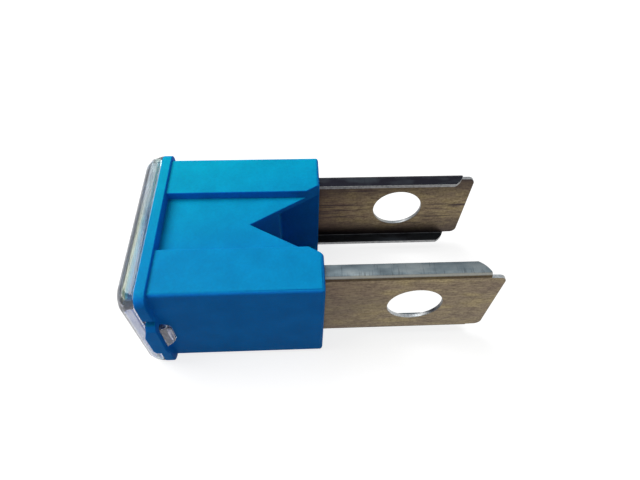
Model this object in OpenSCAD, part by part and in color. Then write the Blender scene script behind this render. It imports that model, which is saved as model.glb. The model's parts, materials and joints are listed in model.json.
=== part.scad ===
// Bolt-in cartridge fuse: a moulded housing with a clear clip-on lid, around one folded sheet-metal
// fuse element whose two channel-shaped terminals each take a bolt.
// The fuse lies on its wide face. +X runs from the lid towards the terminal ends, +Y across the two
// terminals and +Z through the thickness. The origin is under the middle of the part.

/* [Fuse element] */
// Thickness of the sheet that the element is stamped from
sheet = 0.4; // [0.35:0.05:0.6]
// Distance across the outer faces of the two terminals
terminal_span = 13; // [12:0.1:15]
// Height of a terminal across its two flanges
terminal_height = 10.3; // [9.4:0.1:12]
// Width of a flange, from the terminal's outer face to the flange's free edge
flange_width = 1.6; // [1.4:0.05:2]
// Inner radius of the folds between web and flange
fold_radius = 0.1; // [0.05:0.05:0.3]
// Length of terminal outside the housing
terminal_reach = 17.05; // [15:0.05:24]
// How far the end tab reaches past the flanges
tab_length = 1.5; // [1:0.1:2.5]
// Step from a flange's outer face down to the edge of the end tab
tab_step = 0.5; // [0.2:0.05:0.6]
// Corner radius of the end tab
tab_radius = 0.7; // [0.3:0.1:1]
// Length over which a flange's end is swept back
flange_sweep = 1.05; // [0.6:0.05:1.5]
// Diameter of the bolt holes
bolt_hole_d = 5.5; // [4.5:0.1:6.6]
// Distance from the end of a terminal to the centre of its bolt hole
hole_from_end = 7.9; // [6.5:0.1:9]
// How far the flanges widen above their shoulders
shoulder_width = 0.65; // [0.3:0.05:0.7]

/* [Fusible link] */
// Width of the strip where it leaves the terminals
link_width = 3.2; // [2.4:0.1:4.5]
// Width of the narrow neck in the middle
neck_width = 1.4; // [1:0.1:2]
// Length of the narrow neck
neck_length = 1.9; // [1.6:0.1:2.2]
// Radius of the strip's bends, at the middle of its thickness
link_bend = 0.85; // [0.7:0.05:1]
// Half of the distance between the two legs of the dip
dip_half = 2.2; // [2:0.1:2.6]
// Depth of the dip in the strip
dip_depth = 5.2; // [4:0.1:5.6]
// Gap between the strip and the inside of the lid
link_to_lid = 1.7; // [0.8:0.05:1.8]
// Diameter of the tin slug on the neck
slug_d = 2.2; // [1.9:0.1:2.6]
// Length of the tin slug
slug_length = 1.7; // [1.2:0.1:1.8]

/* [Housing] */
// Length of the housing from the back of its rim to its terminal end
body_length = 15.4; // [14:0.1:20]
// Wall between a terminal's web and the outside
side_wall = 1.75; // [1.5:0.05:2.5]
// Wall between a terminal's flanges and the outside
pad_wall = 0.96; // [0.8:0.02:1.5]
// Wall between a terminal's free edges and the slot between the towers
tower_wall = 0.56; // [0.4:0.02:0.6]
// How far the raised pads reach past the flanges' free edges
pad_cover = 1.46; // [1.2:0.02:1.8]
// Depth of the channel between the raised pads
recess_depth = 0.92; // [0.5:0.02:1]
// Thickness of the wall under that channel
plate_wall = 0.65; // [0.5:0.05:0.8]
// Depth of the V-shaped notch from the terminal end
notch_depth = 7; // [6:0.1:8]
// Distance from the notch's point to the pocket behind the notch
pocket_setback = 2.8; // [2:0.1:4]
// Wall between the link chamber and the point of the notch
divider_wall = 0.9; // [0.8:0.05:1.2]
// Width of the chamber beyond the webs of the terminals
chamber_relief = 0.7; // [0.3:0.05:0.75]
// Radius of the housing's outer edges
edge_radius = 0.4; // [0.1:0.05:0.5]

/* [Rim and latches] */
// Thickness of the rim
rim_thickness = 0.95; // [0.8:0.05:1.3]
// Overhang of the rim past the narrow sides
rim_side = 0.85; // [0.7:0.05:1]
// Overhang of the rim past the wide faces
rim_face = 0.36; // [0.2:0.01:0.5]
// Radius of the four corners of the rim and the lid
rim_radius = 1.2; // [0.8:0.1:1.4]
// Height of the lip that enters the lid
lip_height = 0.55; // [0.4:0.05:0.6]
// Width of a latch tab
latch_width = 3.4; // [2.8:0.1:4.2]
// Distance from the middle of a narrow side to the middle of its latch
latch_shift = 0.6; // [0:0.05:0.8]
// Thickness of a latch tab
latch_thickness = 0.5; // [0.4:0.05:0.55]
// Reach of a latch tab past the back of the rim
latch_reach = 0.95; // [0.8:0.05:1.4]
// Height of the hook on a latch tab
hook_height = 0.28; // [0.2:0.02:0.4]
// Corner radius of the end of a latch tab
latch_radius = 0.8; // [0.2:0.1:0.8]
// Wall of the loop around a latch tab
loop_wall = 0.64; // [0.5:0.02:0.9]
// Side wall of the loop at its outer face
loop_side = 0.6; // [0.4:0.05:0.8]
// Slope of the loop's two ends, from the outer face out to the rim
loop_slope = 0.55; // [0.3:0.05:0.7]
// How far the loop reaches past the rim towards the lid's face
loop_overhang = 0.4; // [0.2:0.05:0.5]
// Length over which that overhang tapers off towards the middle of the side
loop_taper = 1.3; // [1:0.1:2]
// Depth of the pocket in the rim beside each loop
pocket_depth = 0.4; // [0.2:0.05:0.5]
// Width of that pocket
pocket_width = 0.8; // [0.5:0.1:1]

/* [Lid] */
// Depth of the lid outside the rim
lid_depth = 1.75; // [1.4:0.05:2.2]
// Wall thickness of the lid's face and of its wide sides
lid_wall = 0.7; // [0.5:0.05:0.75]
// Radius of the edges around the lid's face
lid_edge_radius = 1.1; // [0.5:0.1:1.1]
// Corner radius of the lip that enters the lid
lip_radius = 0.4; // [0.2:0.1:0.8]

/* [Fits] */
// Gap between the housing and what fits into or over it
clearance = 0.05; // [0.03:0.01:0.08]

/* [Hidden] */
$fn = 64;
eps = 0.01;
far = 60;

// Element, measured from the fuse's long axis
web_y = terminal_span / 2;
flange_z = terminal_height / 2;
free_y = web_y - flange_width;
outer_fold = fold_radius + sheet;
shoulder_y = free_y - shoulder_width;
tab_z = flange_z - tab_step;

// Housing, measured from the back of the rim
body_y = web_y + clearance + side_wall;
body_z = flange_z + clearance + pad_wall;
pad_y = free_y - pad_cover;
recess_z = body_z - recess_depth;
tower_y = free_y - clearance - tower_wall;
notch_x = body_length - notch_depth;
floor_x = notch_x - divider_wall;
pocket_x = notch_x + pocket_setback;
plate_z = recess_z - plate_wall;
chamber_y = web_y + chamber_relief;
chamber_z = flange_z + 2 * clearance;
step_y = shoulder_y - clearance;

// Rim, lip and lid
rim_x = -rim_thickness;
rim_y = body_y + rim_side;
rim_z = body_z + rim_face;
lid_x = rim_x - lid_depth;
lid_inner_x = lid_x + lid_wall;
tab_y = body_y + clearance;
hook_y = tab_y + latch_thickness;
lip_y = tab_y - clearance;
lip_z = rim_z - lid_wall - clearance;
window_y = hook_y + clearance;
loop_y = window_y + loop_wall;
window_z = latch_width / 2 + clearance;
loop_z = window_z + loop_side;
loop_foot_z = loop_z + loop_slope;
pocket_y = rim_y - pocket_depth;

// Terminals and link along the fuse
terminal_x = body_length + terminal_reach;
flange_x = terminal_x - tab_length;
hole_x = terminal_x - hole_from_end;
link_x = lid_inner_x + link_to_lid + sheet / 2;
dip_x = link_x + dip_depth;
neck_start_x = link_x + link_bend;
flange_start_x = neck_start_x + flange_z - link_width / 2 - outer_fold;
strip_y = web_y - sheet / 2;

// Where the origin lies in the measures above
middle_x = (terminal_x + lid_x) / 2;

module placed() {
    translate([-middle_x, 0, rim_z]) children();
}

// Repeats on the -Y side what is drawn on the +Y side
module both_sides() {
    children();
    mirror([0, 1, 0]) children();
}

// Sections drawn in the Y-Z, X-Y and X-Z planes, pulled along the axis that is left
module along_x(from, to) {
    translate([from, 0, 0]) rotate([90, 0, 90]) linear_extrude(height = to - from) children();
}

module along_z(half) {
    translate([0, 0, -half]) linear_extrude(height = 2 * half) children();
}

module along_y(from, to) {
    translate([0, to, 0]) rotate([90, 0, 0]) linear_extrude(height = to - from) children();
}

// Rectangle from one corner to the other with round corners
module round_box(low, high, r) {
    size = high - low;
    translate([low[0] + r, low[1]]) square([size[0] - 2 * r, size[1]]);
    translate([low[0], low[1] + r]) square([size[0], size[1] - 2 * r]);
    for (x = [low[0] + r, high[0] - r], y = [low[1] + r, high[1] - r]) {
        translate([x, y]) circle(r = r);
    }
}

// Quarter of a ring around a centre, on the side that the signs give
module quarter_ring(centre, r, width, signs) {
    reach = r + width;
    translate(centre) intersection() {
        difference() {
            circle(r = r + width / 2);
            circle(r = r - width / 2);
        }
        translate([min(0, signs[0] * reach), min(0, signs[1] * reach)]) square(reach);
    }
}

// Housing

module body_section() {
    difference() {
        round_box([-body_y, -body_z], [body_y, body_z], edge_radius);
        for (side = [-1, 1]) {
            translate([-pad_y, side > 0 ? recess_z : -recess_z - far]) square([2 * pad_y, far]);
        }
    }
}

module body_block() {
    intersection() {
        along_x(rim_x, body_length) body_section();
        along_z(far) round_box([-far, -body_y], [body_length, body_y], edge_radius);
        along_y(-far, far) round_box([-far, -body_z], [body_length, body_z], edge_radius);
    }
}

module rim() {
    along_x(rim_x, 0) round_box([-rim_y, -rim_z], [rim_y, rim_z], rim_radius);
}

module lip() {
    along_x(rim_x - lip_height, rim_x + eps) {
        round_box([-lip_y, -lip_z], [lip_y, lip_z], lip_radius);
    }
}

// Places what belongs to a latch, which sits off the middle of its narrow side
module at_latch() {
    translate([0, 0, -latch_shift]) children();
}

// Bridge over a latch tab, sloping down to the rim at both of its ends
module latch_loop() {
    along_x(rim_x, 0) polygon([
        [body_y - edge_radius, -loop_foot_z],
        [rim_y, -loop_foot_z],
        [loop_y, -loop_z],
        [loop_y, loop_z],
        [rim_y, loop_foot_z],
        [body_y - edge_radius, loop_foot_z]
    ]);
    along_y(rim_y + clearance, loop_y) polygon([
        [rim_x, -loop_z],
        [rim_x - loop_overhang / 2, -loop_z],
        [rim_x - loop_overhang, loop_overhang - loop_z],
        [rim_x - loop_overhang, loop_z - loop_taper],
        [rim_x, loop_z]
    ]);
}

module latch_window() {
    along_x(rim_x - eps, eps) {
        translate([body_y, -window_z]) square([window_y - body_y, 2 * window_z]);
    }
}

// Pocket in the rim's narrow side, beside the end of the loop that is nearer the middle
module rim_pocket() {
    wall = (rim_thickness - pocket_width) / 2;
    translate([rim_x + wall, pocket_y, loop_foot_z]) {
        cube([pocket_width, far, pocket_width]);
    }
}

// Room for the link: deeper under the pads, where the flanges stand
module chamber() {
    along_x(rim_x - lip_height - eps, floor_x) {
        translate([-chamber_y, -plate_z]) square([2 * chamber_y, 2 * plate_z]);
        for (side = [-1, 1]) {
            translate([side > 0 ? step_y : -chamber_y, -chamber_z]) {
                square([chamber_y - step_y, 2 * chamber_z]);
            }
        }
    }
}

module terminal_passage() {
    along_x(floor_x - eps, body_length + eps) {
        translate([free_y - clearance, -flange_z - clearance]) {
            square([flange_width + 2 * clearance, terminal_height + 2 * clearance]);
        }
    }
}

// V cut through both wide faces, and the pocket behind it between the towers
module notch() {
    slope = tower_y / notch_depth;
    end_y = slope * (notch_depth + 1);
    along_z(far) polygon([[notch_x, 0], [body_length + 1, -end_y], [body_length + 1, end_y]]);
    along_x(pocket_x, body_length + 1) {
        translate([-tower_y, -plate_z]) square([2 * tower_y, 2 * plate_z]);
    }
}

module housing() {
    color([0.05, 0.56, 0.79]) placed() difference() {
        union() {
            body_block();
            rim();
            lip();
            both_sides() at_latch() latch_loop();
        }
        chamber();
        notch();
        both_sides() {
            terminal_passage();
            at_latch() latch_window();
            at_latch() rim_pocket();
        }
    }
}

// Lid

module lid_shell() {
    difference() {
        intersection() {
            along_x(lid_x, rim_x) round_box([-rim_y, -rim_z], [rim_y, rim_z], rim_radius);
            along_z(far) round_box([lid_x, -rim_y], [far, rim_y], lid_edge_radius);
            along_y(-far, far) round_box([lid_x, -rim_z], [far, rim_z], lid_edge_radius);
        }
        along_x(lid_inner_x, rim_x + eps) {
            square([2 * (lip_y + clearance), 2 * (lip_z + clearance)], center = true);
        }
    }
}

// Tab that passes through the rim, with a hook whose outer face slopes down to its tip
module latch_tab() {
    intersection() {
        along_z(latch_width / 2) polygon([
            [rim_x - eps, tab_y],
            [latch_reach, tab_y],
            [latch_reach, hook_y - latch_thickness / 2],
            [clearance, hook_y + hook_height],
            [clearance, hook_y],
            [rim_x - eps, hook_y]
        ]);
        along_y(0, far) {
            round_box([-far, -latch_width / 2], [latch_reach, latch_width / 2], latch_radius);
        }
    }
}

module lid() {
    color([0.85, 0.86, 0.9, 0.4]) placed() union() {
        lid_shell();
        both_sides() at_latch() latch_tab();
    }
}

// Fuse element

// Section of a terminal whose flanges end at the given distance from the axis
module channel_section(end_y) {
    difference() {
        intersection() {
            round_box([end_y - far, -flange_z], [web_y, flange_z], outer_fold);
            translate([end_y, -far]) square([far, 2 * far]);
        }
        round_box([end_y - far, sheet - flange_z], [web_y - sheet, flange_z - sheet], fold_radius);
    }
}

// Swept-back ends of the flanges: a shallow arc from the free edge to the fold
module flange_sweep_cut() {
    run = flange_width - sheet;
    chord = sqrt(flange_sweep * flange_sweep + run * run);
    arc_r = 1.4 * chord;
    rise = sqrt(arc_r * arc_r - chord * chord / 4);
    along = [flange_sweep / chord, run / chord];
    centre = [
        flange_x - flange_sweep / 2 - along[1] * rise,
        free_y + run / 2 + along[0] * rise
    ];
    along_z(far) difference() {
        translate([flange_x - flange_sweep, free_y - 1]) square([far, run + 1]);
        translate(centre) circle(r = arc_r);
        translate([flange_x - flange_sweep, web_y - sheet]) square([far, 1]);
    }
}

module terminal_tab() {
    along_y(web_y - sheet, web_y) {
        round_box([flange_x - 2 * tab_radius, -tab_z], [terminal_x, tab_z], tab_radius);
    }
}

// Web above the flanges, narrowing to the width of the link
module terminal_neck() {
    wide = flange_z - outer_fold;
    along_y(web_y - sheet, web_y) polygon([
        [neck_start_x, -link_width / 2],
        [flange_start_x, -wide],
        [flange_start_x + sheet, -wide],
        [flange_start_x + sheet, wide],
        [flange_start_x, wide],
        [neck_start_x, link_width / 2]
    ]);
}

module terminal() {
    difference() {
        union() {
            difference() {
                along_x(floor_x - eps, flange_x) channel_section(free_y);
                flange_sweep_cut();
            }
            along_x(flange_start_x, floor_x) channel_section(shoulder_y);
            terminal_tab();
            terminal_neck();
        }
        translate([hole_x, web_y - sheet - 1, 0]) rotate([-90, 0, 0]) {
            cylinder(d = bolt_hole_d, h = sheet + 2);
        }
    }
}

// Half of the strip's course, from a terminal's web to the middle of the dip
module link_course() {
    run_y = strip_y - link_bend;
    leg_y = dip_half + link_bend;
    quarter_ring([neck_start_x, run_y], link_bend, sheet, [-1, 1]);
    translate([link_x - sheet / 2, leg_y]) square([sheet, run_y - leg_y]);
    quarter_ring([neck_start_x, leg_y], link_bend, sheet, [-1, -1]);
    translate([neck_start_x, dip_half - sheet / 2]) square([dip_depth - 2 * link_bend, sheet]);
    quarter_ring([dip_x - link_bend, dip_half - link_bend], link_bend, sheet, [1, 1]);
    translate([dip_x - sheet / 2, 0]) square([sheet, dip_half - link_bend]);
}

// Strip's outline seen from the lid, waisted in the middle
module link_outline() {
    wide = link_width / 2;
    narrow = neck_width / 2;
    half = neck_length / 2;
    shoulder = half + wide - narrow;
    polygon([
        [-web_y, -wide], [-shoulder, -wide], [-half, -narrow], [half, -narrow], [shoulder, -wide],
        [web_y, -wide], [web_y, wide], [shoulder, wide], [half, narrow], [-half, narrow],
        [-shoulder, wide], [-web_y, wide]
    ]);
}

module link() {
    intersection() {
        along_z(link_width) {
            link_course();
            mirror([0, 1]) link_course();
        }
        along_x(link_x - sheet, dip_x + sheet) link_outline();
    }
}

module fuse_element() {
    color([0.55, 0.5, 0.38]) placed() union() {
        both_sides() terminal();
        link();
    }
}

// Slug of tin crimped around the neck of the link
module tin_slug() {
    color([0.75, 0.76, 0.78]) placed() difference() {
        translate([dip_x, -slug_length / 2, 0]) rotate([-90, 0, 0]) {
            cylinder(d = slug_d, h = slug_length);
        }
        translate([dip_x, 0, 0]) cube([sheet, 2 * slug_length, neck_width], center = true);
    }
}

housing();
lid();
fuse_element();
tin_slug();
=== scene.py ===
"""Bolt-in cartridge fuse: its finished pieces and their materials, the stage and the camera."""

import json
import math

import bmesh
import bpy
from mathutils import Matrix, Vector


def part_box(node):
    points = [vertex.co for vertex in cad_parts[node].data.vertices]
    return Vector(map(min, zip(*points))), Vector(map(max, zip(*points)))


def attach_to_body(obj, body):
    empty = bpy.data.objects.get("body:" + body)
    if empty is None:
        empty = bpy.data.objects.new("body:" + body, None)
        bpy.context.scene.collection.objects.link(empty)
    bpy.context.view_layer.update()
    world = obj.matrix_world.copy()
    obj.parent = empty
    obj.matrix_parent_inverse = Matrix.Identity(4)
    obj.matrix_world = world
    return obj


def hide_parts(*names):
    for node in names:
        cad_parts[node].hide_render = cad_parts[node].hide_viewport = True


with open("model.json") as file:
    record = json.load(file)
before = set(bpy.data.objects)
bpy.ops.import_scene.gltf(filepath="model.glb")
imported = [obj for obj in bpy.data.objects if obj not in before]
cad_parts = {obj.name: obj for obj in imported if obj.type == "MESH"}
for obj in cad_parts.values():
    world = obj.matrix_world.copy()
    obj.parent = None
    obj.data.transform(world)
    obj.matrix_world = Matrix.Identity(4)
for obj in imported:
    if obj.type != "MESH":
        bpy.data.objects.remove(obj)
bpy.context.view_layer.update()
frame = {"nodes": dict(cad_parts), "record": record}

bl_info = {
    "name": "Cartridge fuse",
    "version": (1, 0, 0),
    "blender": (4, 5, 0),
    "location": "View3D > Sidebar > Fuse",
    "description": "Dresses the packed frame of a bolt-in cartridge fuse with finished pieces",
    "category": "Object",
}

BODY = "root"
MM = 0.001
# Points closer than this are one point, and a face this close to an edge belongs to it
WELD = 0.02 * MM
TOUCH = 0.05 * MM
# How far a cut reaches past what it cuts through
OVERSHOOT = 0.3 * MM
# Faces that meet flatter than this are one face, and edges sharper than this are rounded
FLAT = math.radians(1)
SHARP = math.radians(35)

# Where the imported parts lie, in metres
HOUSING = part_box("housing")
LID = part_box("lid")
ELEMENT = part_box("fuse_element")
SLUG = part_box("tin_slug")
HOLE = frame["record"]["mounts"][0]
HOLE_X = HOLE["pos_m"][0]
HOLE_RADIUS = HOLE["dims"]["r_mm"] * MM
SHEET = HOLE["dims"]["length_mm"] * MM

# Terminals: each is a channel, whose flanges stop short of the tab at its end
AXIS_Z = (ELEMENT[0].z + ELEMENT[1].z) / 2
WEB_Y = ELEMENT[1].y
FLANGE_HALF = ELEMENT[1].z - AXIS_Z
FLANGE_WIDTH = 1.6 * MM
FLANGE_SWEEP = 1.05 * MM
TAB_STEP = 0.5 * MM
TAB_LENGTH = 1.5 * MM
TAB_HALF = FLANGE_HALF - TAB_STEP
FREE_Y = WEB_Y - FLANGE_WIDTH
FLANGE_END_X = ELEMENT[1].x - TAB_LENGTH

# Swept end of a flange: the arc's radius as a multiple of its chord, and its straight steps
SWEEP_RADIUS = 1.4
SWEEP_STEPS = 6

# Sheared edges of a terminal: how far back from the flanges' ends those of its end and its tab are
# looked for, how far below a flange its free edge is, and how bright each of them is, from 0 to 1
END_REACH = 2 * MM
TAB_REACH = 0.6 * MM
EDGE_PLAY = 0.2 * MM
BRIGHT_END = 0.5
BRIGHT_EDGE = 0.7
BRIGHT_REAR_EDGE = 0.5
BRIGHT_BORE = 0.85
BRIGHT_REAR_BORE = 0.3

# Darkness, from 0 to 1: on the front terminal; on the rear one's web, a little tarnish and then painted
# shade towards the housing; and on its folds and flanges, painted shade and a painted dark reflection. The
# rear terminal is the one at positive Y
FRONT_DARKENING = 0.12
REAR_TARNISH = 0.04
REAR_HOUSING_SHADE = 0.36
FOLD_PAINTED_DARK = 0.96
LOWEST_FOLD_PAINTED_DARK = 0.78
LOWEST_FOLD = 0.8 * MM

# How far the brown painted shade in the finish, and the terminals' darkening, reach out of the housing
HOUSING_SHADE_REACH = 7 * MM
DARKENING_REACH = 9 * MM

# Fusible strip: its bends, and its dip back to the slug
BEND = 0.85 * MM
DIP_HALF = 2.2 * MM
DIP_X = (SLUG[0].x + SLUG[1].x) / 2
STRIP_X = ELEMENT[0].x + SHEET / 2

# How finely the strip and the slug are drawn
STRIP_STEP = 0.12 * MM
BEND_STEPS = 12
SLUG_RINGS = 65
SLUG_SIDES = 56

# Lid outside the rim, the rim behind it, and the pocket in the rim beside each latch
LID_DEPTH = 1.75 * MM
RIM = 0.95 * MM
RIM_FRONT_X = LID[0].x + LID_DEPTH
RIM_BACK_X = RIM_FRONT_X + RIM
POCKET_DEPTH = 0.43 * MM
POCKET_WIDTH = 0.84 * MM
POCKET_Z = AXIS_Z + 2.7 * MM

# Cuts across each corner of the lid's face, for the points that its rounding moves
CORNER_CUTS = 9

# Camera, in millimetres and degrees, the width of its sensor and how far it sees
CAMERA_AT = (-1.686, -29.017, 48.106)
CAMERA_TURN = -4.201
CAMERA_PITCH = 53.395
CAMERA_ROLL = 2.063
SENSOR = 36
FARTHEST = 10000

# Stage, in metres, and how much the white card under the fuse glows
FLOOR_HALF = 0.6
FLOOR_DROP = 0.01 * MM
LAMP_SIZE = 0.3
LAMP_AT = Vector((-0.18, 0.09, 0.33))
CARD_GLOW = 0.8

# Sockets of a colour Mix node
FACTOR, FIRST, SECOND = 0, 6, 7


# Colours and nodes


def linear(code):
    """An sRGB hex code as a linear RGBA colour."""
    parts = [int(code[i : i + 2], 16) / 255 for i in (1, 3, 5)]
    return (*[c / 12.92 if c <= 0.04045 else ((c + 0.055) / 1.055) ** 2.4 for c in parts], 1.0)


def add(tree, kind, inputs=(), stops=(), **settings):
    """Adds a node with its settings and colour stops, and gives each input a value or a link."""
    made = tree.nodes.new(kind)
    for name, value in settings.items():
        setattr(made, name, value)
    for key, value in dict(inputs).items():
        if isinstance(value, bpy.types.Node):
            value = next(socket for socket in value.outputs if socket.enabled)
        if isinstance(value, bpy.types.NodeSocket):
            tree.links.new(value, made.inputs[key])
        else:
            made.inputs[key].default_value = value
    for i, (place, code) in enumerate(stops):
        elements = made.color_ramp.elements
        element = elements[i] if i < len(elements) else elements.new(place)
        element.position = place
        element.color = linear(code)
    return made


def new_material(name):
    """A new material and its empty node tree."""
    material = bpy.data.materials.new(name)
    material.use_nodes = True
    material.node_tree.nodes.clear()
    return material, material.node_tree


# Finishes


def moulded_blue_nylon(settings):
    """Nylon moulded in a spark-eroded tool: a satin skin with hardly any gloss, and faint clouds of flow.

    Light soaks a little way in, so its shadows stay blue. The wide faces carry painted light, greener and
    lighter towards the far end, and the narrow ones painted shade, a deeper blue.
    """
    material, tree = new_material("moulded_blue_nylon")
    coordinates = add(tree, "ShaderNodeTexCoord")
    place = coordinates.outputs["Object"]
    # Painted light: the wide faces grow greener and lighter over 11 mm, across the fuse and a little along
    # it
    across = add(tree, "ShaderNodeVectorMath", {0: place, 1: (-0.35, 1.0, 0.0)}, operation="DOT_PRODUCT")
    drift = add(tree, "ShaderNodeMapRange", {"Value": across.outputs["Value"], "From Max": 11 * MM})
    wide = add(
        tree,
        "ShaderNodeMix",
        {FACTOR: drift, FIRST: settings.colour, SECOND: settings.lit_far_colour},
        data_type="RGBA",
    )
    # Painted shade: the narrow faces take a deeper blue, a shaded copy of the wide faces' colour
    normal = add(tree, "ShaderNodeSeparateXYZ", {"Vector": coordinates.outputs["Normal"]})
    upright = add(tree, "ShaderNodeMath", {0: normal.outputs["Z"]}, operation="ABSOLUTE")
    facing = add(tree, "ShaderNodeMapRange", {"Value": upright, "From Min": 0.7, "From Max": 0.98})
    base = add(
        tree,
        "ShaderNodeMix",
        {FACTOR: facing, FIRST: settings.shaded_side_colour, SECOND: wide},
        data_type="RGBA",
    )
    # Flow clouds of about 2 mm, and spark-erosion grain of 0.25 mm, which is as fine as the view shows
    cloud = add(tree, "ShaderNodeTexNoise", {"Vector": place, "Scale": 1 / (2.2 * MM), "Detail": 3.0})
    grain = add(tree, "ShaderNodeTexNoise", {"Vector": place, "Scale": 1 / (0.25 * MM), "Detail": 3.0})
    pale_clouds = add(tree, "ShaderNodeValToRGB", {"Fac": cloud}, [(0.35, "#EFF1F3"), (0.65, "#FFFFFF")])
    pale_grains = add(tree, "ShaderNodeValToRGB", {"Fac": grain}, [(0.3, "#F2F3F4"), (0.7, "#FFFFFF")])
    dyed_and_lit = base
    for shade in (pale_clouds, pale_grains):
        dyed_and_lit = add(
            tree,
            "ShaderNodeMix",
            {FACTOR: 1.0, FIRST: dyed_and_lit, SECOND: shade},
            data_type="RGBA",
            blend_type="MULTIPLY",
        )
    satin = add(
        tree,
        "ShaderNodeMapRange",
        {"Value": grain, "From Min": 0.3, "From Max": 0.7, "To Min": 0.46, "To Max": 0.6},
    )
    bump = add(tree, "ShaderNodeBump", {"Height": grain, "Distance": 0.006 * MM})
    shader = add(
        tree,
        "ShaderNodeBsdfPrincipled",
        {
            "Base Color": dyed_and_lit,
            "Subsurface Weight": 0.35,
            "Subsurface Radius": (0.2, 0.6, 1.0),
            "Subsurface Scale": 0.7 * MM,
            "Roughness": satin,
            "IOR": 1.53,
            "Specular IOR Level": 0.03,
            "Normal": bump,
        },
    )
    add(tree, "ShaderNodeOutputMaterial", {"Surface": shader})
    return material


def moulded_clear_polycarbonate(settings):
    """Clear polycarbonate moulded in a polished tool: a clear face, and slightly hazy walls with a cast.

    The melt leaves it a little wavy. The wide walls carry painted light, and the latch hooks a painted
    highlight.
    """
    material, tree = new_material("moulded_clear_polycarbonate")
    coordinates = add(tree, "ShaderNodeTexCoord")
    place = coordinates.outputs["Object"]
    spot = add(tree, "ShaderNodeSeparateXYZ", {"Vector": place})
    normal = add(tree, "ShaderNodeSeparateXYZ", {"Vector": coordinates.outputs["Normal"]})
    # Waves of about 1.4 mm, and haze in patches of 0.5 mm
    wave = add(tree, "ShaderNodeTexNoise", {"Vector": place, "Scale": 1 / (1.4 * MM), "Detail": 2.0})
    haze = add(tree, "ShaderNodeTexNoise", {"Vector": place, "Scale": 1 / (0.5 * MM), "Detail": 2.0})
    # Painted light on the wide walls between the face and the rim: pale on the far half; on the near half
    # cream, then the blue of the housing painted in next to the rim
    depth = add(
        tree,
        "ShaderNodeMapRange",
        {"Value": spot.outputs["X"], "From Min": LID[0].x, "From Max": RIM_FRONT_X},
    )
    far_wall_light = add(
        tree,
        "ShaderNodeValToRGB",
        {"Fac": depth},
        [(0.0, "#B2C4D0"), (0.4, "#BACBD2"), (0.5, "#C8DAD6"), (0.8, "#C8E0D4"), (1.0, "#CDE6E6")],
    )
    near_wall_light = add(
        tree,
        "ShaderNodeValToRGB",
        {"Fac": depth},
        [
            (0.0, "#B4C6D6"),
            (0.36, "#98ACBA"),
            (0.45, "#A8B496"),
            (0.54, "#9CB488"),
            (0.63, "#2C94AC"),
            (0.8, "#0C86B2"),
        ],
    )
    nearness = add(
        tree, "ShaderNodeMapRange", {"Value": spot.outputs["Y"], "From Min": 3 * MM, "From Max": 0.0}
    )
    wide_wall_light = add(
        tree, "ShaderNodeMix", {FACTOR: nearness, FIRST: far_wall_light, SECOND: near_wall_light}, data_type="RGBA"
    )
    upright = add(tree, "ShaderNodeMath", {0: normal.outputs["Z"]}, operation="ABSOLUTE")
    wide = add(tree, "ShaderNodeMapRange", {"Value": upright, "From Min": 0.4, "From Max": 0.8})
    walls = add(
        tree, "ShaderNodeMix", {FACTOR: wide, FIRST: settings.cast, SECOND: wide_wall_light}, data_type="RGBA"
    )
    # The face is clear; the hooks of the latches behind the rim get the same pale colour as a painted
    # highlight
    endwise = add(tree, "ShaderNodeMath", {0: normal.outputs["X"]}, operation="ABSOLUTE")
    face = add(tree, "ShaderNodeMapRange", {"Value": endwise, "From Min": 0.8, "From Max": 0.98})
    lit_hook = add(
        tree,
        "ShaderNodeMapRange",
        {"Value": spot.outputs["X"], "From Min": RIM_BACK_X, "From Max": RIM_BACK_X + 0.2 * MM},
    )
    clear = add(tree, "ShaderNodeMath", {0: lit_hook, 1: face}, operation="MAXIMUM")
    cast = add(
        tree, "ShaderNodeMix", {FACTOR: clear, FIRST: walls, SECOND: linear("#F8F7FC")}, data_type="RGBA"
    )
    cloud = add(tree, "ShaderNodeValToRGB", {"Fac": wave}, [(0.35, "#E6E8F0"), (0.65, "#FFFFFF")])
    clouded = add(
        tree,
        "ShaderNodeMix",
        {FACTOR: 1.0, FIRST: cast, SECOND: cloud},
        data_type="RGBA",
        blend_type="MULTIPLY",
    )
    soft = add(
        tree,
        "ShaderNodeMapRange",
        {"Value": haze, "From Min": 0.3, "From Max": 0.7, "To Min": 0.04, "To Max": 0.08},
    )
    hazier = add(tree, "ShaderNodeMath", {0: wide, 1: 0.1, 2: soft}, operation="MULTIPLY_ADD")
    bump = add(tree, "ShaderNodeBump", {"Height": wave, "Distance": 0.02 * MM})
    shader = add(
        tree,
        "ShaderNodeBsdfPrincipled",
        {
            "Base Color": clouded,
            "Roughness": hazier,
            "IOR": 1.585,
            "Transmission Weight": 0.92,
            "Specular IOR Level": 0.4,
            "Normal": bump,
        },
    )
    add(tree, "ShaderNodeOutputMaterial", {"Surface": shader})
    return material


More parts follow.
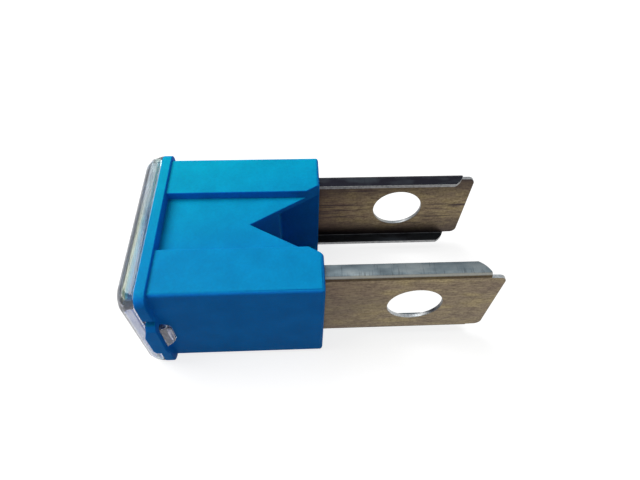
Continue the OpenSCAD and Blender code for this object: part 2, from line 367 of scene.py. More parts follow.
def rolled_copper_alloy():
    """Rolled copper-alloy strip, dulled with age: olive-brown, with streaks along the rolling direction.

    The folds carry a painted highlight on top and painted shade below, the flanges a painted grey-blue
    reflection, and the sheared edges are bright.
    """
    material, tree = new_material("rolled_copper_alloy")
    coordinates = add(tree, "ShaderNodeTexCoord")
    place = coordinates.outputs["Object"]
    # Rolling streaks of 0.15 by 0.8 mm, scratches of 0.35 by 5 mm, and tarnish in blotches of 1 by 2.5 mm
    along = add(tree, "ShaderNodeMapping", {"Vector": place, "Scale": (0.18, 1.0, 1.0)})
    streak = add(tree, "ShaderNodeTexNoise", {"Vector": along, "Scale": 1 / (0.15 * MM), "Detail": 5.0})
    drawn = add(tree, "ShaderNodeMapping", {"Vector": place, "Scale": (0.07, 1.0, 1.0)})
    band = add(tree, "ShaderNodeTexNoise", {"Vector": drawn, "Scale": 1 / (0.35 * MM), "Detail": 2.0})
    smeared = add(tree, "ShaderNodeMapping", {"Vector": place, "Scale": (0.4, 1.0, 1.0)})
    blotch = add(tree, "ShaderNodeTexNoise", {"Vector": smeared, "Scale": 1 / (1.0 * MM), "Detail": 3.0})
    # Pits of 0.2 mm
    speck = add(tree, "ShaderNodeTexNoise", {"Vector": place, "Scale": 1 / (0.2 * MM), "Detail": 4.0})
    fine = add(
        tree,
        "ShaderNodeValToRGB",
        {"Fac": streak},
        [(0.3, "#625340"), (0.45, "#796A54"), (0.56, "#86765A"), (0.72, "#998B66")],
    )
    stained = add(
        tree,
        "ShaderNodeValToRGB",
        {"Fac": blotch},
        [(0.34, "#62514A"), (0.5, "#7E705A"), (0.66, "#98895E")],
    )
    rolled = add(tree, "ShaderNodeMix", {FACTOR: 0.4, FIRST: fine, SECOND: stained}, data_type="RGBA")
    pits = add(tree, "ShaderNodeValToRGB", {"Fac": speck}, [(0.36, "#A9A19A"), (0.56, "#FFFFFF")])
    peppered = add(
        tree,
        "ShaderNodeMix",
        {FACTOR: 0.5, FIRST: rolled, SECOND: pits},
        data_type="RGBA",
        blend_type="MULTIPLY",
    )
    # Inside the channel: dark scratches, and painted shade that deepens towards its folds
    spot = add(tree, "ShaderNodeSeparateXYZ", {"Vector": place})
    normal = add(tree, "ShaderNodeSeparateXYZ", {"Vector": coordinates.outputs["Normal"]})
    outward = add(
        tree, "ShaderNodeMath", {0: spot.outputs["Y"], 1: normal.outputs["Y"]}, operation="MULTIPLY"
    )
    inside = add(
        tree, "ShaderNodeMapRange", {"Value": outward, "From Min": -1 * MM, "From Max": -5 * MM}
    )
    height = add(tree, "ShaderNodeMath", {0: spot.outputs["Z"], 1: AXIS_Z}, operation="SUBTRACT")
    off_axis = add(tree, "ShaderNodeMath", {0: height}, operation="ABSOLUTE")
    fold_shade = add(
        tree,
        "ShaderNodeMapRange",
        {"Value": off_axis, "From Min": 1.4 * MM, "From Max": 4.6 * MM, "To Max": 0.88},
    )
    scratch = add(
        tree, "ShaderNodeMapRange", {"Value": band, "From Min": 0.56, "From Max": 0.68, "To Max": 0.75}
    )
    shade_and_scratches = add(tree, "ShaderNodeMath", {0: fold_shade, 1: scratch}, operation="MAXIMUM")
    inner_shade_and_scratches = add(tree, "ShaderNodeMath", {0: shade_and_scratches, 1: inside}, operation="MULTIPLY")
    # Painted shade, in brown, where the terminals leave the housing, most of all inside the channel
    housing_shade = add(
        tree,
        "ShaderNodeMapRange",
        {
            "Value": spot.outputs["X"],
            "From Min": HOUSING[1].x,
            "From Max": HOUSING[1].x + HOUSING_SHADE_REACH,
            "To Min": 0.42,
            "To Max": 0.0,
        },
    )
    inside_weight = add(tree, "ShaderNodeMath", {0: inside, 1: 0.7, 2: 1.0}, operation="MULTIPLY_ADD")
    inner_housing_shade = add(tree, "ShaderNodeMath", {0: housing_shade, 1: inside_weight}, operation="MULTIPLY")
    housing_shaded = add(
        tree,
        "ShaderNodeMix",
        {FACTOR: inner_housing_shade, FIRST: peppered, SECOND: linear("#44302C")},
        data_type="RGBA",
    )
    web = add(
        tree,
        "ShaderNodeMix",
        {FACTOR: inner_shade_and_scratches, FIRST: housing_shaded, SECOND: linear("#30262B")},
        data_type="RGBA",
    )
    # Marks across the flanges, 0.17 mm wide and 1.4 mm long, where the strip was folded over
    crosswise = add(tree, "ShaderNodeMapping", {"Vector": place, "Scale": (1.0, 0.12, 1.0)})
    mark = add(tree, "ShaderNodeTexNoise", {"Vector": crosswise, "Scale": 1 / (0.17 * MM), "Detail": 2.0})
    marked = add(
        tree, "ShaderNodeMapRange", {"Value": mark, "From Min": 0.52, "From Max": 0.74, "To Max": 0.6}
    )
    # Painted reflection: the flanges, which face up, are grey-blue where the webs are olive-brown
    flange_reflection = add(
        tree,
        "ShaderNodeValToRGB",
        {"Fac": blotch},
        [(0.32, "#566167"), (0.5, "#6C787E"), (0.68, "#828B8E")],
    )
    # Painted shade: each flange darkens towards its free edge
    sideways = add(tree, "ShaderNodeMath", {0: spot.outputs["Y"]}, operation="ABSOLUTE")
    free_edge_shade = add(
        tree,
        "ShaderNodeMapRange",
        {"Value": sideways, "From Min": FREE_Y, "From Max": WEB_Y - SHEET, "To Min": 0.4, "To Max": 0.0},
    )
    darker_share = add(tree, "ShaderNodeMath", {0: marked, 1: free_edge_shade}, operation="MAXIMUM")
    flange = add(
        tree,
        "ShaderNodeMix",
        {FACTOR: darker_share, FIRST: flange_reflection, SECOND: linear("#33383C")},
        data_type="RGBA",
    )
    # By how far a surface faces up or down: web, painted shade under the fold, painted highlight atop it,
    # flange
    upright = add(tree, "ShaderNodeMath", {0: normal.outputs["Z"]}, operation="ABSOLUTE")
    fold = add(
        tree,
        "ShaderNodeValToRGB",
        {"Fac": upright},
        [(0.1, "#2B221C"), (0.58, "#2B221C"), (0.74, "#989D9C"), (0.9, "#989D9C")],
    )
    on_fold = add(
        tree,
        "ShaderNodeValToRGB",
        {"Fac": upright},
        [(0.06, "#000000"), (0.18, "#D8D8D8"), (0.86, "#D8D8D8"), (0.95, "#000000")],
    )
    on_flange = add(tree, "ShaderNodeMapRange", {"Value": upright, "From Min": 0.85, "From Max": 0.97})
    sheet = add(tree, "ShaderNodeMix", {FACTOR: on_flange, FIRST: web, SECOND: flange}, data_type="RGBA")
    folded = add(tree, "ShaderNodeMix", {FACTOR: on_fold, FIRST: sheet, SECOND: fold}, data_type="RGBA")
    # Each face's own darkness from tarnish and painted shade, in patches, and bright metal where it was
    # sheared
    tarnish_and_painted_shade = add(tree, "ShaderNodeAttribute", attribute_name="tarnish_and_painted_shade")
    patchy = add(
        tree,
        "ShaderNodeMapRange",
        {"Value": blotch, "From Min": 0.3, "From Max": 0.7, "To Min": 0.8, "To Max": 1.2},
    )
    patches = add(
        tree,
        "ShaderNodeMath",
        {0: tarnish_and_painted_shade.outputs["Fac"], 1: patchy},
        operation="MULTIPLY",
        use_clamp=True,
    )
    dulled = add(
        tree,
        "ShaderNodeMix",
        {FACTOR: patches, FIRST: folded, SECOND: linear("#1E1E26")},
        data_type="RGBA",
    )
    bright = add(tree, "ShaderNodeValToRGB", {"Fac": speck}, [(0.35, "#9FA3A6"), (0.6, "#C9CCCE")])
    cut = add(tree, "ShaderNodeAttribute", attribute_name="cut_edge")
    colour = add(
        tree,
        "ShaderNodeMix",
        {FACTOR: cut.outputs["Fac"], FIRST: dulled, SECOND: bright},
        data_type="RGBA",
    )
    polish = add(
        tree,
        "ShaderNodeMapRange",
        {"Value": streak, "From Min": 0.3, "From Max": 0.7, "To Min": 0.48, "To Max": 0.34},
    )
    bump = add(tree, "ShaderNodeBump", {"Height": streak, "Distance": 0.006 * MM})
    shader = add(
        tree,
        "ShaderNodeBsdfPrincipled",
        {"Base Color": colour, "Metallic": 1.0, "Roughness": polish, "Normal": bump},
    )
    add(tree, "ShaderNodeOutputMaterial", {"Surface": shader})
    return material


def cast_tin():
    """Tin, cast as a pellet and crimped on: soft grey and slightly grainy."""
    material, tree = new_material("cast_tin")
    place = add(tree, "ShaderNodeTexCoord").outputs["Object"]
    # Grains of about 0.2 mm
    grain = add(tree, "ShaderNodeTexNoise", {"Vector": place, "Scale": 1 / (0.2 * MM), "Detail": 3.0})
    colour = add(tree, "ShaderNodeValToRGB", {"Fac": grain}, [(0.3, "#8F9094"), (0.7, "#C2C3C5")])
    dull = add(
        tree,
        "ShaderNodeMapRange",
        {"Value": grain, "From Min": 0.3, "From Max": 0.7, "To Min": 0.5, "To Max": 0.3},
    )
    bump = add(tree, "ShaderNodeBump", {"Height": grain, "Distance": 0.01 * MM})
    shader = add(
        tree,
        "ShaderNodeBsdfPrincipled",
        {"Base Color": colour, "Metallic": 1.0, "Roughness": dull, "Normal": bump},
    )
    add(tree, "ShaderNodeOutputMaterial", {"Surface": shader})
    return material


# Meshes


def tidied(made):
    """Joins a mesh's loose triangles into flat faces."""
    bmesh.ops.remove_doubles(made, verts=made.verts, dist=WELD)
    bmesh.ops.dissolve_limit(
        made, angle_limit=FLAT, verts=made.verts, edges=made.edges, delimit={"NORMAL"}
    )
    bmesh.ops.dissolve_degenerate(made, dist=WELD, edges=made.edges)
    return made


def merged_copy(node):
    """A copy of a CAD node's mesh, merged into flat faces."""
    made = bmesh.new()
    made.from_mesh(frame["nodes"][node].data)
    return tidied(made)


def cut_away(made, outlines, low, high):
    """Cuts upright prisms, given by their outlines and their two heights, out of a merged mesh."""
    tool = bmesh.new()
    for outline in outlines:
        rings = [[tool.verts.new((x, y, z)) for x, y in outline] for z in (low, high)]
        for ring in rings:
            tool.faces.new(ring)
        for i in range(len(outline)):
            tool.faces.new((rings[0][i - 1], rings[0][i], rings[1][i], rings[1][i - 1]))
    bmesh.ops.recalc_face_normals(tool, faces=tool.faces)
    blank, cutter = (bpy.data.objects.new("cutting", mesh_of(mesh, "cutting")) for mesh in (made, tool))
    for thing in (blank, cutter):
        bpy.context.scene.collection.objects.link(thing)
    cut = blank.modifiers.new("cut", "BOOLEAN")
    cut.operation = "DIFFERENCE"
    cut.solver = "EXACT"
    cut.object = cutter
    result = blank.evaluated_get(bpy.context.evaluated_depsgraph_get())
    done = bmesh.new()
    done.from_mesh(result.to_mesh())
    result.to_mesh_clear()
    for thing in (blank, cutter):
        bpy.data.objects.remove(thing)
    return tidied(done)


def round_edges(made, radius):
    """Rounds the sharp edges of a merged mesh."""
    sharp = [e for e in made.edges if e.is_manifold and e.calc_face_angle() > SHARP]
    bmesh.ops.bevel(
        made,
        geom=sharp,
        offset=radius,
        offset_type="OFFSET",
        segments=3,
        profile=0.5,
        affect="EDGES",
        clamp_overlap=False,
    )


def mesh_of(made, name):
    """Turns a bmesh into a mesh."""
    mesh = bpy.data.meshes.new(name)
    made.to_mesh(mesh)
    made.free()
    return mesh


def new_piece(name, mesh, material):
    """Links a mesh as an object whose flat faces stay flat and whose rounded edges shade smoothly."""
    piece = bpy.data.objects.new(name, mesh)
    bpy.context.scene.collection.objects.link(piece)
    mesh.materials.clear()
    mesh.materials.append(material)
    mesh.shade_smooth()
    mesh.set_sharp_from_angle(angle=SHARP)
    piece.modifiers.new("even_shading", "WEIGHTED_NORMAL").keep_sharp = True
    return piece


def attach(piece, node):
    """Puts a piece on the body, and hides the CAD node that it stands for."""
    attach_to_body(piece, BODY)
    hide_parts(node)


def new_shape_tree(name, sizes):
    """A Geometry Nodes tree with its geometry and the named sizes as inputs, and the inputs' sockets."""
    tree = bpy.data.node_groups.new(name, "GeometryNodeTree")
    tree.interface.new_socket("Geometry", in_out="INPUT", socket_type="NodeSocketGeometry")
    tree.interface.new_socket("Geometry", in_out="OUTPUT", socket_type="NodeSocketGeometry")
    for size, value in sizes.items():
        kind = "NodeSocketInt" if isinstance(value, int) else "NodeSocketFloat"
        tree.interface.new_socket(size, in_out="INPUT", socket_type=kind).default_value = value
    return tree, add(tree, "NodeGroupInput").outputs


def grown(name, tree, sizes, points):
    """The plain mesh that a Geometry Nodes tree makes along a line of points with the given sizes."""
    line = bpy.data.meshes.new(name)
    line.from_pydata(points, [(i, i + 1) for i in range(len(points) - 1)], [])
    carrier = bpy.data.objects.new(name, line)
    bpy.context.scene.collection.objects.link(carrier)
    modifier = carrier.modifiers.new("shape", "NODES")
    modifier.node_group = tree
    for socket in tree.interface.items_tree:
        if socket.in_out == "INPUT" and socket.name in sizes:
            modifier[socket.identifier] = sizes[socket.name]
    evaluated = carrier.evaluated_get(bpy.context.evaluated_depsgraph_get())
    mesh = bpy.data.meshes.new_from_object(evaluated)
    carrier.modifiers.remove(modifier)
    bpy.data.objects.remove(carrier)
    if not mesh.polygons:
        raise RuntimeError(name + " has no faces")
    return mesh


def link_tree(material, sizes):
    """A flat strip that follows a bent line, waisted where the line crosses the middle of the fuse."""
    tree, size = new_shape_tree("fusible_link", sizes)
    line = add(tree, "GeometryNodeMeshToCurve", {"Mesh": size["Geometry"]})
    bent = add(
        tree,
        "GeometryNodeFilletCurve",
        {"Curve": line, "Count": BEND_STEPS, "Radius": size["Bend radius"], "Limit Radius": True},
        mode="POLY",
    )
    even = add(tree, "GeometryNodeResampleCurve", {"Curve": bent, "Length": STRIP_STEP}, mode="LENGTH")
    level = add(tree, "GeometryNodeSetCurveNormal", {"Curve": even}, mode="Z_UP")
    outline = add(
        tree,
        "GeometryNodeCurvePrimitiveQuadrilateral",
        {"Width": size["Thickness"], "Height": size["Width"]},
        mode="RECTANGLE",
    )
    section = add(
        tree,
        "GeometryNodeFilletCurve",
        {"Curve": outline, "Count": 3, "Radius": size["Edge radius"], "Limit Radius": True},
        mode="POLY",
    )
    strip = add(
        tree, "GeometryNodeCurveToMesh", {"Curve": level, "Profile Curve": section, "Fill Caps": True}
    )
    # Each point moves towards the strip's middle height by the share that its place along Y asks for
    place = add(tree, "ShaderNodeSeparateXYZ", {"Vector": add(tree, "GeometryNodeInputPosition")})
    sideways = add(tree, "ShaderNodeMath", {0: place.outputs["Y"]}, operation="ABSOLUTE")
    half_neck = add(tree, "ShaderNodeMath", {0: size["Neck length"], 1: 0.5}, operation="MULTIPLY")
    step = add(tree, "ShaderNodeMath", {0: size["Width"], 1: size["Neck width"]}, operation="SUBTRACT")
    half_step = add(tree, "ShaderNodeMath", {0: step, 1: 0.5}, operation="MULTIPLY")
    shoulder = add(tree, "ShaderNodeMath", {0: half_neck, 1: half_step}, operation="ADD")
    narrow = add(tree, "ShaderNodeMath", {0: size["Neck width"], 1: size["Width"]}, operation="DIVIDE")
    share = add(
        tree,
        "ShaderNodeMapRange",
        {"Value": sideways, "From Min": half_neck, "From Max": shoulder, "To Min": narrow, "To Max": 1.0},
    )
    height = add(
        tree, "ShaderNodeMath", {0: place.outputs["Z"], 1: size["Middle height"]}, operation="SUBTRACT"
    )
    shortfall = add(tree, "ShaderNodeMath", {0: share, 1: 1.0}, operation="SUBTRACT")
    shift = add(tree, "ShaderNodeMath", {0: height, 1: shortfall}, operation="MULTIPLY")
    waisted = add(
        tree,
        "GeometryNodeSetPosition",
        {"Geometry": strip, "Offset": add(tree, "ShaderNodeCombineXYZ", {"Z": shift})},
    )
    real = add(tree, "GeometryNodeRealizeInstances", {"Geometry": waisted})
    done = add(tree, "GeometryNodeSetMaterial", {"Geometry": real, "Material": material})
    add(tree, "NodeGroupOutput", {"Geometry": done})
    return tree


def slug_tree(material, sizes):
    """A round bar along a line, rounded at its ends and pinched by evenly spaced crimps."""
    tree, size = new_shape_tree("crimped_slug", sizes)
    line = add(tree, "GeometryNodeMeshToCurve", {"Mesh": size["Geometry"]})
    even = add(tree, "GeometryNodeResampleCurve", {"Curve": line, "Count": SLUG_RINGS}, mode="COUNT")
    along = add(tree, "GeometryNodeSplineParameter").outputs["Factor"]
    # Crimps: a wave from 0 to 1, raised to its fourth power so that its crests are narrow
    turns = add(tree, "ShaderNodeMath", {0: along, 1: size["Crimps"]}, operation="MULTIPLY")
    angle = add(tree, "ShaderNodeMath", {0: turns, 1: 2 * math.pi}, operation="MULTIPLY")
    wave = add(tree, "ShaderNodeMath", {0: angle}, operation="COSINE")
    lifted = add(tree, "ShaderNodeMath", {0: wave, 1: -0.5, 2: 0.5}, operation="MULTIPLY_ADD")
    groove = add(tree, "ShaderNodeMath", {0: lifted, 1: 4.0}, operation="POWER")
    pinch = add(tree, "ShaderNodeMath", {0: groove, 1: size["Crimp depth"]}, operation="MULTIPLY")
    # Ends: a quarter circle over the last stretch
    off_middle = add(tree, "ShaderNodeMath", {0: along, 1: 0.5}, operation="SUBTRACT")
    distance = add(tree, "ShaderNodeMath", {0: off_middle}, operation="ABSOLUTE")
    share = add(tree, "ShaderNodeMath", {0: size["End radius"], 1: size["Length"]}, operation="DIVIDE")
    start = add(tree, "ShaderNodeMath", {0: 0.5, 1: share}, operation="SUBTRACT")
    past = add(tree, "ShaderNodeMapRange", {"Value": distance, "From Min": start, "From Max": 0.5})
    squared = add(tree, "ShaderNodeMath", {0: past, 1: 2.0}, operation="POWER")
    left = add(tree, "ShaderNodeMath", {0: 1.0, 1: squared}, operation="SUBTRACT")
    height = add(tree, "ShaderNodeMath", {0: left}, operation="SQRT")
    fall = add(tree, "ShaderNodeMath", {0: 1.0, 1: height}, operation="SUBTRACT")
    drop = add(tree, "ShaderNodeMath", {0: fall, 1: size["End radius"]}, operation="MULTIPLY")
    full = add(tree, "ShaderNodeMath", {0: size["Diameter"], 1: 0.5}, operation="MULTIPLY")
    pinched = add(tree, "ShaderNodeMath", {0: full, 1: pinch}, operation="SUBTRACT")
    radius = add(tree, "ShaderNodeMath", {0: pinched, 1: drop}, operation="SUBTRACT")
    shaped = add(tree, "GeometryNodeSetCurveRadius", {"Curve": even, "Radius": radius})
    ring = add(
        tree, "GeometryNodeCurvePrimitiveCircle", {"Resolution": SLUG_SIDES, "Radius": 1.0}, mode="RADIUS"
    )
    bar = add(
        tree,
        "GeometryNodeCurveToMesh",
        {
            "Curve": shaped,
            "Profile Curve": ring,
            "Scale": add(tree, "GeometryNodeInputRadius"),
            "Fill Caps": True,
        },
    )
    real = add(tree, "GeometryNodeRealizeInstances", {"Geometry": bar})
    done = add(tree, "GeometryNodeSetMaterial", {"Geometry": real, "Material": material})
    add(tree, "NodeGroupOutput", {"Geometry": done})
    return tree


def clamped(value):
    """A value held between 0 and 1."""
    return min(1.0, max(0.0, value))


def wear_and_shade_of(centre, normal):
    """How bright a face of a terminal is, where it was sheared, and how dark from tarnish and painted
    shade, both from 0 to 1.
    """
    height, sideways = abs(centre.z - AXIS_Z), abs(centre.y)
    from_hole = math.hypot(centre.x - HOLE_X, centre.z - AXIS_Z)
    rear = centre.y > 0
    if from_hole < HOLE_RADIUS + TOUCH and abs(normal.y) < 0.8:
        # The bore is darker on the side away from the housing
        darker_share = clamped(0.5 - normal.x)
        return (BRIGHT_REAR_BORE if rear else BRIGHT_BORE - 0.6 * darker_share), 0.7 * darker_share
    if sideways < FREE_Y + TOUCH and abs(normal.y) > 0.7 and height > TAB_HALF - EDGE_PLAY:
        return (BRIGHT_REAR_EDGE if rear else BRIGHT_EDGE), 0.0
    end = normal.x > 0.5 and centre.x > FLANGE_END_X - END_REACH
    on_tab = height < TAB_HALF + TOUCH and centre.x > FLANGE_END_X - TAB_REACH
    bright = BRIGHT_END if end or (on_tab and abs(normal.z) > 0.7) else 0.0
    # Each terminal darkens towards the housing, the rear one's web by painted shade
    near = clamped(1 - (centre.x - HOUSING[1].x) / DARKENING_REACH)
    if not rear:
        return bright, FRONT_DARKENING * near
    # The rear terminal's folds and flanges are painted dark, as painted shade and a painted dark
    # reflection
    if abs(normal.z) > 0.2:
        return bright, (LOWEST_FOLD_PAINTED_DARK if centre.z < ELEMENT[0].z + LOWEST_FOLD else FOLD_PAINTED_DARK)
    return bright, REAR_TARNISH + REAR_HOUSING_SHADE * near


def paint_wear_and_shade(mesh):
    """Stores the wear and painted shade of each face of the terminals where the finish reads it."""
    cut = mesh.attributes.new("cut_edge", "FLOAT", "FACE").data
    tarnish_and_painted_shade = mesh.attributes.new("tarnish_and_painted_shade", "FLOAT", "FACE").data
    for i, face in enumerate(mesh.polygons):
        cut[i].value, tarnish_and_painted_shade[i].value = wear_and_shade_of(face.center, face.normal)


# Settings


class FuseHousingSettings(bpy.types.PropertyGroup):
    """Sizes and colours of the housing"""

    edge_radius: bpy.props.FloatProperty(
        name="Edge radius", description="Radius of the moulded edges", default=0.1 * MM, unit="LENGTH"
    )
    colour: bpy.props.FloatVectorProperty(
        name="Colour",
        description="Colour of the wide faces",
        default=linear("#048FC8"),
        size=4,
        subtype="COLOR",
    )
    # Painted light: the lighter, greener colour that the wide faces take towards the far end
    lit_far_colour: bpy.props.FloatVectorProperty(
        name="Far colour",
        description="Colour that the wide faces drift to",
        default=linear("#00A6CA"),
        size=4,
        subtype="COLOR",
    )
    # Painted shade: a deeper blue for the narrow faces, a shaded copy of the wide faces' colour
    shaded_side_colour: bpy.props.FloatVectorProperty(
        name="Side colour",
        description="Colour of the narrow faces",
        default=linear("#1485E0"),
        size=4,
        subtype="COLOR",
    )


class FuseLidSettings(bpy.types.PropertyGroup):
    """Sizes and colours of the lid"""

    edge_radius: bpy.props.FloatProperty(
        name="Edge radius", description="Radius of the lid's edges", default=0.1 * MM, unit="LENGTH"
    )
    corner_reach: bpy.props.FloatProperty(
        name="Corner reach",
        description="How far from a corner of the face the extra rounding starts",
        default=2.0 * MM,
        unit="LENGTH",
    )
    corner_pull: bpy.props.FloatProperty(
        name="Corner pull",
        description="How far a corner of the face is drawn in",
        default=0.5 * MM,
        unit="LENGTH",
    )
    cast: bpy.props.FloatVectorProperty(
        name="Cast",
        description="Colour of the clear plastic",
        default=linear("#D2D6E4"),
        size=4,
        subtype="COLOR",
    )


class FuseTerminalSettings(bpy.types.PropertyGroup):
    """Sizes of the terminals"""

    edge_radius: bpy.props.FloatProperty(
        name="Edge radius", description="Rounding of the sheared edges", default=0.04 * MM, unit="LENGTH"
    )


class FuseLinkSettings(bpy.types.PropertyGroup):
    """Sizes of the fusible link"""

    width: bpy.props.FloatProperty(
        name="Width", description="Width of the strip at the terminals", default=3.2 * MM, unit="LENGTH"
    )
    neck_width: bpy.props.FloatProperty(
        name="Neck width", description="Width of the neck that melts", default=1.4 * MM, unit="LENGTH"
    )
    neck_length: bpy.props.FloatProperty(
        name="Neck length", description="Length of the neck that melts", default=1.9 * MM, unit="LENGTH"
    )
    edge_radius: bpy.props.FloatProperty(
        name="Edge radius", description="Rounding of the strip's edges", default=0.04 * MM, unit="LENGTH"
    )


class FuseSlugSettings(bpy.types.PropertyGroup):
    """Sizes of the tin slug"""

    crimps: bpy.props.IntProperty(name="Crimps", description="Number of crimps around the slug", default=3)
    crimp_depth: bpy.props.FloatProperty(
        name="Crimp depth", description="Depth of a crimp", default=0.09 * MM, unit="LENGTH"
    )
    end_radius: bpy.props.FloatProperty(
        name="End radius", description="Rounding of the slug's ends", default=0.18 * MM, unit="LENGTH"
    )


class FuseStageSettings(bpy.types.PropertyGroup):
    """Lens and light of the stage"""

    lens: bpy.props.FloatProperty(
        name="Lens", description="Focal length of the camera", default=26.62, unit="CAMERA"
    )
    key_power: bpy.props.FloatProperty(
        name="Key lamp", description="Power of the soft lamp above the fuse", default=1.62, unit="POWER"
    )
    room_light: bpy.props.FloatProperty(
        name="Room light", description="Strength of the even light around the fuse", default=0.24
    )


# Operators


def rim_pocket(side):
    """Outline of a pocket that runs across the whole edge of the rim, beside a loop."""
    front, back = RIM_FRONT_X - OVERSHOOT, RIM_BACK_X + OVERSHOOT
    floor, beyond = side * (LID[1].y - POCKET_DEPTH), side * (LID[1].y + MM)
    return [(front, floor), (back, floor), (back, beyond), (front, beyond)]


class FUSE_OT_housing(bpy.types.Operator):
    """Builds the blue housing"""

    bl_idname = "fuse.housing"
    bl_label = "Housing"

    def execute(self, context):
        settings = context.scene.fuse_housing
        pockets = [rim_pocket(side) for side in (-1, 1)]
        low, high = POCKET_Z - POCKET_WIDTH / 2, POCKET_Z + POCKET_WIDTH / 2
        made = cut_away(merged_copy("housing"), pockets, low, high)
        round_edges(made, settings.edge_radius)
        material = moulded_blue_nylon(settings)
        piece = new_piece("housing_moulding", mesh_of(made, "housing_moulding"), material)
        attach(piece, "housing")
        return {"FINISHED"}


def soften_corners(made, reach, pull):
    """Draws in the four corners of the lid's face, which are rounder than its edges."""
    steps = [reach * (i + 1) / CORNER_CUTS for i in range(CORNER_CUTS)]
    cuts = [((LID[0].x + step, 0, 0), (1, 0, 0)) for step in steps]
    cuts += [((0, side * (LID[1].y - step), 0), (0, 1, 0)) for step in steps for side in (-1, 1)]
    cuts += [((0, 0, z), (0, 0, 1)) for step in steps for z in (LID[0].z + step, LID[1].z - step)]
    for place, normal in cuts:
        everything = [*made.verts, *made.edges, *made.faces]
        bmesh.ops.bisect_plane(made, geom=everything, plane_co=place, plane_no=normal, dist=WELD)
    for side, level in ((-1, -1), (-1, 1), (1, -1), (1, 1)):
        corner = Vector((LID[0].x, side * LID[1].y, LID[1 if level > 0 else 0].z))
        inward = Vector((1, -side, -level)).normalized()
        for vert in made.verts:
            share = (vert.co - corner).length / reach
            if share < 1:
                vert.co += inward * pull * (1 - share**2) ** 2


class FUSE_OT_lid(bpy.types.Operator):
    """Builds the clear lid with its two latch tabs"""

    bl_idname = "fuse.lid"
    bl_label = "Lid"

    def execute(self, context):
        settings = context.scene.fuse_lid
        made = merged_copy("lid")
        round_edges(made, settings.edge_radius)
        soften_corners(made, settings.corner_reach, settings.corner_pull)
        piece = new_piece("lid_clear", mesh_of(made, "lid_clear"), moulded_clear_polycarbonate(settings))
        attach(piece, "lid")
        return {"FINISHED"}


def flange_end(side):
    """Outline of what lies outside a flange's swept end, a shallow arc from its free edge to its fold."""
    start = Vector((FLANGE_END_X - FLANGE_SWEEP, FREE_Y))
    end = Vector((FLANGE_END_X, WEB_Y - SHEET))
    chord = end - start
    radius = SWEEP_RADIUS * chord.length
    rise = math.sqrt(radius**2 - chord.length**2 / 4)
    centre = (start + end) / 2 + Vector((-chord.y, chord.x)).normalized() * rise
    sector = 2 * math.asin(chord.length / 2 / radius)
    turns = [Matrix.Rotation(sector * i / SWEEP_STEPS, 2) for i in range(SWEEP_STEPS + 1)]
    arc = [centre + turn @ (start - centre) for turn in turns]
    outside = [(end.x + MM, end.y), (end.x + MM, start.y - MM), (start.x, start.y - MM)]
    return [(x, side * y) for x, y in [*arc, *outside]]


class FUSE_OT_terminals(bpy.types.Operator):
    """Builds the two folded terminals, up to where the fusible link bends away from them"""

    bl_idname = "fuse.terminals"
    bl_label = "Terminals"

    def execute(self, context):
        settings = context.scene.fuse_terminals
        # The solid's two lower flanges have square ends, so they are cut as the upper ones are
        ends = [flange_end(side) for side in (-1, 1)]
        low, high = ELEMENT[0].z - MM, ELEMENT[0].z + SHEET + OVERSHOOT
        made = cut_away(merged_copy("fuse_element"), ends, low, high)
        # The strip between the terminals goes, because the link is a piece of its own
        bmesh.ops.bisect_plane(
            made,
            geom=[*made.verts, *made.edges, *made.faces],
            plane_co=(STRIP_X + BEND, 0, 0),
            plane_no=(-1, 0, 0),
            clear_outer=True,
        )
        dip = [v for v in made.verts if abs(v.co.y) < DIP_HALF + SHEET]
        bmesh.ops.delete(made, geom=dip, context="VERTS")
        bmesh.ops.holes_fill(made, edges=[e for e in made.edges if e.is_boundary])
        round_edges(made, settings.edge_radius)
        mesh = mesh_of(made, "terminals")
        paint_wear_and_shade(mesh)
        attach(new_piece("terminals", mesh, rolled_copper_alloy()), "fuse_element")
        return {"FINISHED"}


class FUSE_OT_link(bpy.types.Operator):
    """Builds the fusible strip that joins the terminals inside the lid"""

    bl_idname = "fuse.link"
    bl_label = "Fusible link"

    def execute(self, context):
        settings = context.scene.fuse_link
        strip_y = WEB_Y - SHEET / 2
        half = [(STRIP_X + BEND, strip_y), (STRIP_X, strip_y), (STRIP_X, DIP_HALF), (DIP_X, DIP_HALF)]
        line = [(x, y, AXIS_Z) for x, y in half] + [(x, -y, AXIS_Z) for x, y in reversed(half)]
        sizes = {
            "Width": settings.width,
            "Neck width": settings.neck_width,
            "Neck length": settings.neck_length,
            "Thickness": SHEET,
            "Edge radius": settings.edge_radius,
            "Bend radius": BEND,
            "Middle height": AXIS_Z,
        }
        material = bpy.data.objects["terminals"].active_material
        mesh = grown("fusible_link", link_tree(material, sizes), sizes, line)
        attach(new_piece("fusible_link", mesh, material), "fuse_element")
        return {"FINISHED"}


class FUSE_OT_slug(bpy.types.Operator):
    """Builds the tin slug that is crimped on the link's neck"""

    bl_idname = "fuse.slug"
    bl_label = "Tin slug"

    def execute(self, context):
        settings = context.scene.fuse_slug
        sizes = {
            "Diameter": SLUG[1].x - SLUG[0].x,
            "Length": SLUG[1].y - SLUG[0].y,
            "Crimps": settings.crimps,
            "Crimp depth": settings.crimp_depth,
            "End radius": settings.end_radius,
        }
        line = [(DIP_X, SLUG[0].y, AXIS_Z), (DIP_X, SLUG[1].y, AXIS_Z)]
        material = cast_tin()
        mesh = grown("tin_slug_crimped", slug_tree(material, sizes), sizes, line)
        attach(new_piece("tin_slug_crimped", mesh, material), "tin_slug")
        return {"FINISHED"}


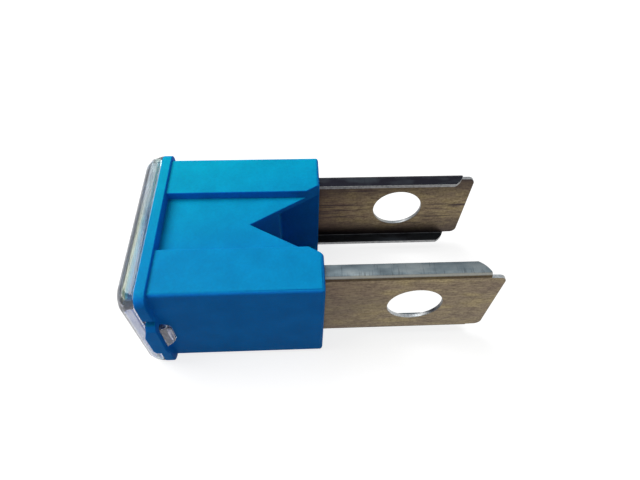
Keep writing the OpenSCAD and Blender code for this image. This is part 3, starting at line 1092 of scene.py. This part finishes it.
def seen_directly(tree):
    """A socket that is 1 for rays that look at a surface, straight, in gloss or through clear plastic."""
    path = add(tree, "ShaderNodeLightPath").outputs
    straight = add(
        tree, "ShaderNodeMath", {0: path["Is Camera Ray"], 1: path["Is Glossy Ray"]}, operation="MAXIMUM"
    )
    return add(
        tree, "ShaderNodeMath", {0: straight, 1: path["Is Transmission Ray"]}, operation="MAXIMUM"
    ).outputs[0]


def white_card():
    """Matt grey card, which glows as much as it takes to be seen as white and keep the fuse's shadow."""
    material, tree = new_material("white_card")
    strength = add(tree, "ShaderNodeMath", {0: seen_directly(tree), 1: CARD_GLOW}, operation="MULTIPLY")
    glow = add(tree, "ShaderNodeEmission", {"Strength": strength})
    card = add(tree, "ShaderNodeBsdfDiffuse", {"Color": linear("#9E9E9E")})
    both = add(tree, "ShaderNodeAddShader", {0: card, 1: glow})
    add(tree, "ShaderNodeOutputMaterial", {"Surface": both})
    return material


def room_world(strength):
    """An even room light of the given strength, seen as white."""
    world = bpy.data.worlds.new("studio")
    world.use_nodes = True
    tree = world.node_tree
    tree.nodes.clear()
    seen = seen_directly(tree)
    level = add(tree, "ShaderNodeMapRange", {"Value": seen, "To Min": strength, "To Max": 1.0})
    room = add(tree, "ShaderNodeBackground", {"Color": linear("#FFFFFF"), "Strength": level})
    add(tree, "ShaderNodeOutputWorld", {"Surface": room})
    return world


class FUSE_OT_stage(bpy.types.Operator):
    """Sets up the floor, the lamp, the background and the camera"""

    bl_idname = "fuse.stage"
    bl_label = "Stage"

    def execute(self, context):
        settings = context.scene.fuse_stage
        scene = context.scene
        scene.view_settings.view_transform = "Standard"
        scene.world = room_world(settings.room_light)

        made = bmesh.new()
        bmesh.ops.create_grid(made, x_segments=1, y_segments=1, size=FLOOR_HALF)
        floor = new_piece("floor", mesh_of(made, "floor"), white_card())
        floor.location.z = -FLOOR_DROP

        light = bpy.data.lights.new("key", "AREA")
        light.size = LAMP_SIZE
        light.energy = settings.key_power
        lamp = bpy.data.objects.new("key", light)
        lamp.location = LAMP_AT
        lamp.rotation_euler = (-LAMP_AT).to_track_quat("-Z", "Y").to_euler()
        scene.collection.objects.link(lamp)

        lens = bpy.data.cameras.new("camera")
        lens.sensor_fit = "HORIZONTAL"
        lens.sensor_width = SENSOR
        lens.lens = settings.lens
        lens.clip_start = MM
        lens.clip_end = FARTHEST * MM
        camera = bpy.data.objects.new("camera", lens)
        camera.matrix_world = (
            Matrix.Translation(Vector(CAMERA_AT) * MM)
            @ Matrix.Rotation(math.radians(CAMERA_TURN), 4, "Z")
            @ Matrix.Rotation(math.radians(90 - CAMERA_PITCH), 4, "X")
            @ Matrix.Rotation(math.radians(CAMERA_ROLL), 4, "Z")
        )
        scene.collection.objects.link(camera)
        scene.camera = camera
        return {"FINISHED"}


class FUSE_PT_panel(bpy.types.Panel):
    """Lists the fuse's pieces and their settings"""

    bl_idname = "FUSE_PT_panel"
    bl_label = "Fuse"
    bl_space_type = "VIEW_3D"
    bl_region_type = "UI"
    bl_category = "Fuse"

    def draw(self, context):
        for name, (group, operator) in STEPS.items():
            box = self.layout.box()
            box.operator(operator.bl_idname)
            for setting in group.__annotations__:
                box.prop(getattr(context.scene, name), setting)


# Each step's settings on the scene, and the operator that builds it, in the order of making
STEPS = {
    "fuse_stage": (FuseStageSettings, FUSE_OT_stage),
    "fuse_housing": (FuseHousingSettings, FUSE_OT_housing),
    "fuse_lid": (FuseLidSettings, FUSE_OT_lid),
    "fuse_terminals": (FuseTerminalSettings, FUSE_OT_terminals),
    "fuse_link": (FuseLinkSettings, FUSE_OT_link),
    "fuse_slug": (FuseSlugSettings, FUSE_OT_slug),
}


def register():
    """Registers the classes and puts each step's settings on the scene."""
    for name, (group, operator) in STEPS.items():
        bpy.utils.register_class(group)
        bpy.utils.register_class(operator)
        setattr(bpy.types.Scene, name, bpy.props.PointerProperty(type=group))
    bpy.utils.register_class(FUSE_PT_panel)


def unregister():
    """Takes the settings and the classes away again."""
    bpy.utils.unregister_class(FUSE_PT_panel)
    for name, (group, operator) in STEPS.items():
        delattr(bpy.types.Scene, name)
        bpy.utils.unregister_class(operator)
        bpy.utils.unregister_class(group)


def main():
    """Sets up the stage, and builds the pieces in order."""
    register()
    bpy.ops.fuse.stage()
    bpy.ops.fuse.housing()
    bpy.ops.fuse.lid()
    bpy.ops.fuse.terminals()
    bpy.ops.fuse.link()
    bpy.ops.fuse.slug()


if __name__ == "__main__":
    main()
